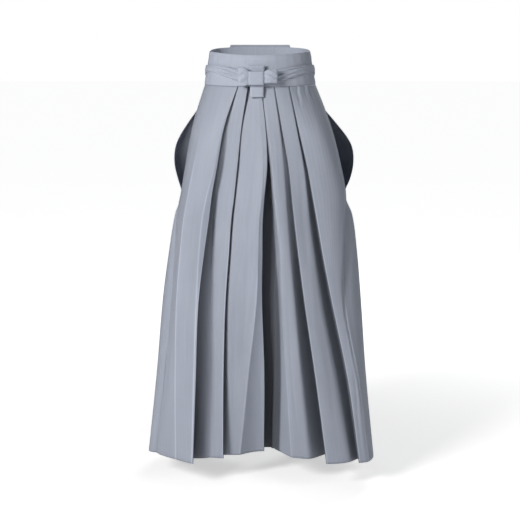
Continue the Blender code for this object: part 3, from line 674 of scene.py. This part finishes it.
def ribbed_cloth(name, pale, deep, wrinkle=0.0, rib=0.0016, pick=0.0011):
    """Ribbed polyester: fine ribs down the length, the picks across them, faint long streaks in
    the yarn, a slow drift of tone, and a soft sheen. A wrinkled cloth has fine bumps as well."""
    made, shader, add, link = nodes_of(name)

    def maths(kind, *values):
        node = add("ShaderNodeMath")
        node.operation = kind
        for socket, value in zip(node.inputs, values):
            if isinstance(value, (int, float)):
                socket.default_value = value
            else:
                link(value, socket)
        return node.outputs[0]

    def total(*terms):
        parts = [maths("MULTIPLY", output, weight) for output, weight in terms]
        while len(parts) > 1:
            parts[:2] = [maths("ADD", *parts[:2])]
        return parts[0]

    def noise(stretch, detail, roughness):
        mapping = add("ShaderNodeMapping")
        settings(mapping, {"Scale": (*stretch, 1)})
        link(uv.outputs["UV"], mapping.inputs["Vector"])
        texture = add("ShaderNodeTexNoise")
        settings(texture, {"Scale": 1.0, "Detail": detail, "Roughness": roughness})
        link(mapping.outputs["Vector"], texture.inputs["Vector"])
        return texture.outputs["Fac"]

    uv = add("ShaderNodeUVMap")
    uv.uv_map = "cloth"
    split = add("ShaderNodeSeparateXYZ")
    link(uv.outputs["UV"], split.inputs[0])
    ribs = maths("SINE", maths("MULTIPLY", split.outputs["X"], 2 * np.pi / rib))
    picks = maths("SINE", maths("MULTIPLY", split.outputs["Y"], 2 * np.pi / pick))
    streaks = noise((260, 7), 3.0, 0.6)
    drift = noise((9, 5), 2.0, 0.5)

    ramp = add("ShaderNodeValToRGB")
    for stop, place, colour in zip(ramp.color_ramp.elements, (0.32, 0.88), (deep, pale)):
        stop.position = place
        stop.color = (*colour, 1)
    link(total((streaks, 0.60), (drift, 0.60), (ribs, 0.05)), ramp.inputs["Fac"])
    base = ramp.outputs["Color"]
    # pale colour of the painted highlight along pressed edges
    white = [min(HIGHLIGHT_PALER * part, 1.0) for part in pale]
    # deep colour of the painted shade in folds
    dim = [PAINTED_SHADE_DARKER * part for part in deep]
    for mark, colour in (("pressed", white), ("tucked", dim)):
        attribute = add("ShaderNodeAttribute")
        attribute.attribute_name = mark
        mix = add("ShaderNodeMix")
        mix.data_type = "RGBA"
        mix.inputs[7].default_value = (*colour, 1)
        link(attribute.outputs["Fac"], mix.inputs[0])
        link(base, mix.inputs[6])
        base = mix.outputs[2]
    link(base, shader.inputs["Base Color"])

    heights = [(ribs, 0.5), (picks, 0.18), (streaks, 1.6)]
    if wrinkle:
        heights.append((noise((90, 260), 4.0, 0.6), wrinkle))
    bump = add("ShaderNodeBump")
    settings(bump, {"Strength": 0.35, "Distance": 0.0004})
    link(total(*heights), bump.inputs["Height"])
    link(bump.outputs["Normal"], shader.inputs["Normal"])
    settings(shader, {"Roughness": 0.56, "Specular IOR Level": 0.38, "Sheen Weight": 0.22,
                      "Sheen Roughness": 0.45, "Sheen Tint": (0.86, 0.90, 1.0, 1)})
    return made


# ---- making pieces
def added(name, data):
    """A new object in the scene."""
    made = bpy.data.objects.new(name, data)
    bpy.context.scene.collection.objects.link(made)
    return made


def ring_of(grid, closed):
    """The grid, with its first column again at its end where the sheet closes on itself."""
    return np.concatenate((grid, grid[:, :1]), axis=1) if closed else grid


def corners_of(grid):
    """The values at the four corners of every face of a grid."""
    return np.stack((grid[:-1, :-1], grid[1:, :-1], grid[1:, 1:], grid[:-1, 1:]), axis=2)


def surface(name, points, material, wall, across, closed=False, **marks):
    """A piece from a grid of world points, with the cloth's own UV map in metres: across the
    cloth along one row, and down its length. Marks are kept as attributes."""
    rows, columns = points.shape[:2]
    index = ring_of(np.arange(rows * columns).reshape(rows, columns), closed)
    mesh = bpy.data.meshes.new(name)
    mesh.from_pydata(points.reshape(-1, 3), [], corners_of(index).reshape(-1, 4))
    mesh.validate()

    u = run_of(ring_of(points, closed)[across][None])
    down = np.linalg.norm(np.diff(points, axis=0), axis=2).mean(axis=1)
    v = -np.concatenate(([0.0], np.cumsum(down)))
    maps = corners_of(points_of(u, v[:, None]))
    layer = mesh.uv_layers.new(name="cloth")
    layer.data.foreach_set("uv", maps.astype(np.float32).ravel())

    for mark, values in marks.items():
        attribute = mesh.attributes.new(mark, "FLOAT", "POINT")
        attribute.data.foreach_set("value", values.astype(np.float32).ravel())
    mesh.shade_smooth()
    mesh.materials.append(material)
    piece = added(name, mesh)
    if wall:
        solid = piece.modifiers.new("thickness", "SOLIDIFY")
        solid.thickness = wall
        solid.offset = 0.0
    return piece


def painted_highlight_at(points, pressed):
    """How strong the painted highlight along pressed edges is at each point: strength * exp(-(distance
    along the cloth from a pressed column / 1.6 mm)^2), the strongest of them all."""
    run = run_of(points)
    white = np.zeros_like(run)
    for at, strength, top in pressed:
        most = strength * ease(ROW, top, top + 0.12)
        white = np.maximum(white, most * np.exp(-((run - run[:, at:at + 1]) / HIGHLIGHT_HALF_WIDTH)**2))
    return white


def dressed(name, node, slot, cloth, points, wall, across, held, rests_on, closed=False, **marks):
    """A sheet joined to the frame: it rides the body and stands for its node; slot, held and rests_on
    are not used.
    """
    piece = surface(name, points, cloth, wall, across, closed, **marks)
    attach(piece, "root")
    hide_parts(node)
    return piece


# ---- the panels
def panels(cloth):
    """Fronts, backs and gores."""
    made = {}
    for face, section_of in (("front", front_section), ("back", back_section)):
        for side in ("right", "left"):
            # each section comes with the columns of its painted highlight and the painted shade of
            # each point
            section, pressed, tucked = section_of(side)
            points = made[side, face] = placed(side, section, face == "front")
            dressed(f"{side}_{face}", f"{face}_{side}", "cloth", cloth, points, WALL, -1, "hung",
                    ["front_tie_lower"] if face == "front" else ["back_board"],
                    pressed=painted_highlight_at(points, pressed), tucked=tucked)
    legs = ROW[:, 0] >= FORK
    for side in ("right", "left"):
        front, back = made[side, "front"][legs, -1:], made[side, "back"][legs, -1:]
        start = front + np.array((0, SEAM, 0) if side == "right"
                                 else (-SOLID_WALL / 2 - SEAM, -SOLID_WALL / 2, 0))
        end = back - np.array([0, SEAM, 0])
        u = np.linspace(0, 1, 25)[None, :, None]
        sag = GORE_SAG * (ROW[legs] - FORK) / (1 - FORK) * (-1 if side == "right" else 1)
        points = start + (end - start) * u
        points[..., 0] += sag * np.sin(np.pi * u[..., 0])**2
        points[..., 2] = -DROP * ROW[legs]
        dressed(f"{side}_gore", f"gore_{side}", "cloth", cloth, points, WALL, -1, "hung",
                [f"front_{side}"])


# ---- waist: ties and board
def round_waist(angle, z, level):
    """(x, y) on the waist at an angle (0 the wearer's left, 90 the front), moved out by level:
    an ellipse in front, a squarer superellipse behind."""
    side = WAIST_SIDE - WAIST_TAPER * np.maximum(z, 0.0)
    c, s = np.cos(angle), np.sin(angle)
    front = s >= 0
    reach = np.where(front, WAIST_FRONT - FRONT_TAPER * np.maximum(z, 0.0), WAIST_BACK)
    power = np.where(front, 2.0, 3.0)
    x = side * np.sign(c) * np.abs(c)**(2 / power)
    y = -reach * np.sign(s) * np.abs(s)**(2 / power)
    nx = np.sign(x) * (np.abs(x) / side)**(power - 1) / side
    ny = np.sign(y) * (np.abs(y) / reach)**(power - 1) / reach
    size = np.hypot(nx, ny)
    return x + level * nx / size, y + level * ny / size


def folded_band(height, wall, count):
    """Section of a folded tie, as (share of height, level): up the outer face, over a rounded
    edge, down the inner face and under."""
    face = np.linspace(0.0, 1.0, count)
    arc = np.linspace(0, np.pi, 6)[1:-1]
    radius = wall / 2
    share = np.concatenate((face, 1 + radius / height * np.sin(arc) * 0.9, face[::-1],
                            -radius / height * np.sin(arc) * 0.9))
    level = np.concatenate((np.full(count, radius), radius * np.cos(arc),
                            np.full(count, -radius), -radius * np.cos(arc)))
    return share[None], level[None]


def tie_wraps(cloth):
    """The two passes of the front tie round the waist, each a flat folded band."""
    angle = np.linspace(0, 2 * np.pi, 321)[:-1][:, None]
    for name, node, low, high, level in (
            ("first_wrap", "front_tie_upper", TIE_WIDTH + 0.0008, 0.0745, -0.0002),
            ("second_wrap", "front_tie_lower", 0.0009, TIE_WIDTH, 0.0009)):
        x, y = round_waist(angle, 0.0, 0.0)
        front = y < 0
        dip = np.where(front, waist_line(x), 0.0024 + 0.0115 * y / WAIST_BACK)
        if node == "front_tie_upper":                # its upper edge rises to the sides
            high = high + 0.0055 * np.where(front, (x / WAIST_SIDE)**2, 1.0)
        share, out = folded_band(TIE_WIDTH, TIE_WALL, 9)
        z = dip + low + (high - low) * share
        ripple = (0.00035 * np.sin(9 * angle + 5 * share) * np.sin(23 * angle - 7 * share + 1)
                  + 0.0003 * np.sin(3 * np.pi * share + 6 * angle))
        crown = 0.0004 * np.sin(np.pi * np.clip(share, 0, 1))
        if node == "front_tie_lower":                # stitching along its lower edge
            crown = crown - 0.0006 * np.exp(-((share - 0.07) / 0.016)**2)
        x, y = round_waist(angle, z, level + out + np.where(out > 0, ripple + crown, 0))
        points = np.transpose(points_of(x, y, z), (1, 0, 2))
        points = np.concatenate((points, points[:1]), axis=0)
        dressed(name, node, "tie_cloth", cloth, points, 0, 4, "folded",
                ["front_right", "front_left"], closed=True)


def back_ties(cloth):
    """Each back tie, from the end of the board round the side to the knot: it climbs and
    narrows, then spreads and gathers into the knot. The gathers are broad waves with sharp
    troughs between, the root of a half sine."""
    way = np.linspace(0, 1, 131)[None, :]
    height = np.linspace(1, 0, 25)[:, None]
    low, high = column(BACK_TIE, 1, way), column(BACK_TIE, 2, way)
    for side in ("right", "left"):
        angle = np.radians(-27 + 101 * way)
        z = low + (high - low) * height
        gather = ease(way, 0.45, 1.0)
        level = (0.0040 + 0.0012 * np.sin(np.pi * height)
                 + gather * 0.0020 * (1 + np.sin(2 * np.pi * (2.6 * height + 0.9 * way) + 1))
                 + gather * 0.0018 * (np.abs(np.sin(np.pi * (4.6 * height - 1.9 * way)))**0.5 - 0.7)
                 + 0.0003 * np.sin(40 * way + 3 * height))
        x, y = round_waist(angle, z, np.maximum(level, 0.0036))
        points = points_of(x if side == "left" else -x, y, z)
        if side == "right":                          # so that its faces look outwards
            points = points[:, ::-1]
        dressed(side + "_back_tie", "back_tie_" + side, "tie_cloth", cloth, points,
                BACK_TIE_WALL, 12, "folded", ["front_tie_lower"])


def back_board(cloth):
    """The stiff board behind: wide at its foot, narrow at its top, bent round the back, with a
    pressed line of stitching inside its edge."""
    share = np.linspace(1, 0, 41)[:, None]
    u = np.linspace(-1, 1, 111)[None, :]
    half = 0.1135 + (0.075 - 0.1135) * share
    x = half * u
    z = BACK_TOP + 0.0008 + (0.100 - BACK_TOP) * share
    y = 0.080 + 0.0285 * (1 - (np.abs(x) / 0.115)**3.2) + 0.006 * share
    inset = np.minimum(np.minimum(share, 1 - share) * 0.088, (1 - np.abs(u)) * half)
    y = y - 0.0007 * np.exp(-((inset - 0.006) / 0.0011)**2)
    points = points_of(x, y, z)
    piece = dressed("board", "back_board", "board_cloth", cloth, points, BOARD_WALL, -1,
                    "stretched", ["back_right", "back_left"])
    bevel = piece.modifiers.new("edges", "BEVEL")
    bevel.width = 0.0012
    bevel.segments = 2
    bevel.limit_method = "ANGLE"


# ---- the knot
def knot_loop(name, node, cloth, end, root, low, high, wrap_edge, lean):
    """A loop of folded tie lying sideways: near wall, round the end, far wall; pinched under
    the wrap and puffed at its end, with slanting gathers."""
    near, far = -0.1188, -0.1268
    angle = np.pi * np.linspace(0, 1, 61)[None, :]
    height = np.linspace(0, 1, 33)[:, None]
    x = root + (end - root) * np.sin(angle)**0.55
    open_part = np.clip((x - wrap_edge) / (end - wrap_edge), 0, None)
    open_out = np.sin(np.pi / 2 * np.clip(open_part * 1.6, 0, 1))
    depth, round_out = (1 - np.cos(angle)) / 2, open_out * np.sin(np.pi * height)**0.5
    slant = np.sin(2 * np.pi * (2.3 * height + lean * 38 * (x - root)) + 0.6)
    fine = np.abs(np.sin(np.pi * (4.2 * height - lean * 75 * (x - root)) + 0.3))**0.5 - 0.7
    y = near + (far - near - (0.0034 + 0.0013 * slant + 0.0014 * fine) * round_out) * depth
    foot = low[0] + (low[1] - low[0]) * open_out
    head = high[0] + (high[1] - high[0]) * open_out
    inset = 0.0016 * (1 - np.sin(np.pi * height)**0.4) * open_out * np.sign(end)
    points = points_of(x - inset, y, foot + (head - foot) * height)
    dressed(name, node, "tie_cloth", cloth, points, LOOP_WALL, 16, "folded", ["front_tie_lower"])


def turn_of(y, z, radius, first, last, count):
    """Points of a round turn about (y, z), by angle: 0 is forward and 90 is up."""
    angle = np.radians(np.linspace(first, last, count))
    return points_of(y - radius * np.cos(angle), z + radius * np.sin(angle))


def strip_across(name, node, cloth, left, right, section, ripple, roll):
    """A folded strip that keeps one section in Y and Z along X, with a crown and soft ripples,
    and edges that roll back by roll * exp(-(distance from the edge / 2 mm)^2)."""
    section = even(np.concatenate([np.atleast_2d(part) for part in section])[None], 64)
    u = np.linspace(0, 1, 41)[:, None]
    x = left + (right - left) * u
    way = np.linspace(0, 1, 64)[None, :]
    crown = 0.0007 * np.sin(np.pi * u)
    wave = ripple * np.sin(2 * np.pi * (2.2 * u + 1.3 * way)) * np.sin(2 * np.pi * (3.1 * way + u))
    rolled = roll * (np.exp(-((x - left) / 0.002)**2) + np.exp(-((right - x) / 0.002)**2))
    points = points_of(x, section[..., 0] - crown - wave + rolled, section[..., 1])
    dressed(name, node, "tie_cloth", cloth, points, STRIP_WALL, 20, "folded", ["front_tie_lower"])


def knot(cloth):
    """The flat cross knot: two loops, the wrap over them and two tabs."""
    knot_loop("right_loop", "knot_loop_right", cloth, -0.0537, -0.010,
              (0.0060, 0.000), (0.0318, 0.0450), -0.0250, -1)
    knot_loop("left_loop", "knot_loop_left", cloth, 0.0418, -0.006,
              (0.0060, 0.0075), (0.0318, 0.0408), 0.0065, 1)
    wrap = [(-0.1190, 0.0355), turn_of(-0.1275, 0.0320, 0.0035, 90, 0, 7),
            (-0.1316, 0.0190), turn_of(-0.1275, 0.0062, 0.0035, 0, -90, 7),
            (-0.1190, 0.0027)]
    strip_across("wrap", "knot_wrap", cloth, -0.0278, 0.0097, wrap, 0.0003, 0.0030)
    top = [(-0.1092, 0.0240), (-0.1092, 0.0400),
           turn_of(-0.1115, 0.0478, 0.0023, 180, 0, 9), (-0.1138, 0.0400),
           (-0.1138, 0.0240)]
    strip_across("upper_tab", "knot_tab_upper", cloth, -0.0258, 0.0106, top, 0.0003, 0.0010)
    foot = [(-0.1118, 0.0090), (-0.1122, -0.0080),
            turn_of(-0.1142, -0.0243, 0.0022, -180, 0, 9), (-0.1166, -0.0080),
            (-0.1162, 0.0090)]
    strip_across("lower_tab", "knot_tab_lower", cloth, -0.0240, 0.0084, foot, 0.0002, 0.0010)


# ---- studio
def lamp(name, place, width, level, colour):
    """A round soft lamp: its power grows with the squared distance to what it aims at, so that
    level alone says how much light arrives there."""
    away = Vector(place) - Vector(LAMP_AIM)
    data = bpy.data.lights.new(name, "AREA")
    data.shape = "DISK"
    data.size = width
    data.color = colour
    data.energy = 3.6 * np.pi * level * away.length_squared
    made = added(name, data)
    made.location = place
    made.rotation_euler = away.to_track_quat("Z", "Y").to_euler()


def pale_floor():
    """A matt pale floor that brightens to white away from the middle, and casts no light."""
    made, shader, add, link = nodes_of("pale_floor")
    place, path = add("ShaderNodeTexCoord"), add("ShaderNodeLightPath")
    reach = add("ShaderNodeVectorMath")
    reach.operation = "LENGTH"
    ramp = add("ShaderNodeMapRange")
    ramp.interpolation_type = "SMOOTHSTEP"
    settings(ramp, {"From Min": 0.3, "From Max": 2.6, "To Min": 0.55, "To Max": 0.95})
    link(place.outputs["Object"], reach.inputs[0])
    link(reach.outputs["Value"], ramp.inputs["Value"])
    link(ramp.outputs["Result"], shader.inputs["Emission Color"])
    link(path.outputs["Is Camera Ray"], shader.inputs["Emission Strength"])
    settings(shader, {"Base Color": (0.90, 0.90, 0.90, 1), "Roughness": 0.9,
                      "Specular IOR Level": 0.1})
    bpy.ops.mesh.primitive_circle_add(vertices=96, radius=60, fill_type="NGON")
    floor = bpy.context.object
    floor.name = "floor"
    floor.location = (0, 0, FLOOR)
    floor.data.materials.append(made)


def white_room():
    """White all round for the camera, and a dim cool light from all sides."""
    world = bpy.data.worlds.new("studio")
    bpy.context.scene.world = world
    world.use_nodes = True
    nodes, link = world.node_tree.nodes, world.node_tree.links.new
    dim, white = nodes["Background"], nodes.new("ShaderNodeBackground")
    mix, path = nodes.new("ShaderNodeMixShader"), nodes.new("ShaderNodeLightPath")
    settings(dim, {"Color": (0.82, 0.95, 1.0, 1), "Strength": 0.03})
    settings(white, {"Color": (1, 1, 1, 1), "Strength": 1.0})
    link(path.outputs["Is Camera Ray"], mix.inputs["Fac"])
    link(dim.outputs["Background"], mix.inputs[1])
    link(white.outputs["Background"], mix.inputs[2])
    link(mix.outputs["Shader"], nodes["World Output"].inputs["Surface"])


def studio():
    """Floor, room, lamps and camera."""
    pale_floor()
    white_room()
    lamp("key", (-1.78, -2.36, 0.80), 1.0, 0.68, (1.0, 0.985, 0.97))
    lamp("side", (2.30, -1.22, 0.40), 1.4, 0.17, (1.0, 1.0, 1.0))
    lamp("behind", (0.9, 2.4, 1.4), 1.6, 0.25, (1.0, 1.0, 1.0))
    data = bpy.data.cameras.new("camera")
    data.sensor_width = 36.0
    data.lens = CAMERA_LENS
    camera = added("camera", data)
    camera.location = CAMERA_PLACE
    camera.rotation_euler = (np.radians(90 - CAMERA_DOWN), 0, 0)
    bpy.context.scene.camera = camera
    bpy.context.scene.view_settings.view_transform = "Standard"


def main():
    cloth = ribbed_cloth("blue_grey_ribbed", (0.425, 0.462, 0.552), (0.350, 0.385, 0.465),
                         wrinkle=0.7)
    tie_cloth = ribbed_cloth("blue_grey_tie", (0.490, 0.532, 0.630), (0.405, 0.445, 0.535),
                             wrinkle=1.2)
    board_cloth = ribbed_cloth("blue_grey_board", (0.420, 0.457, 0.545), (0.345, 0.380, 0.458))
    studio()
    panels(cloth)
    tie_wraps(tie_cloth)
    back_ties(tie_cloth)
    back_board(board_cloth)
    knot(tie_cloth)


main()
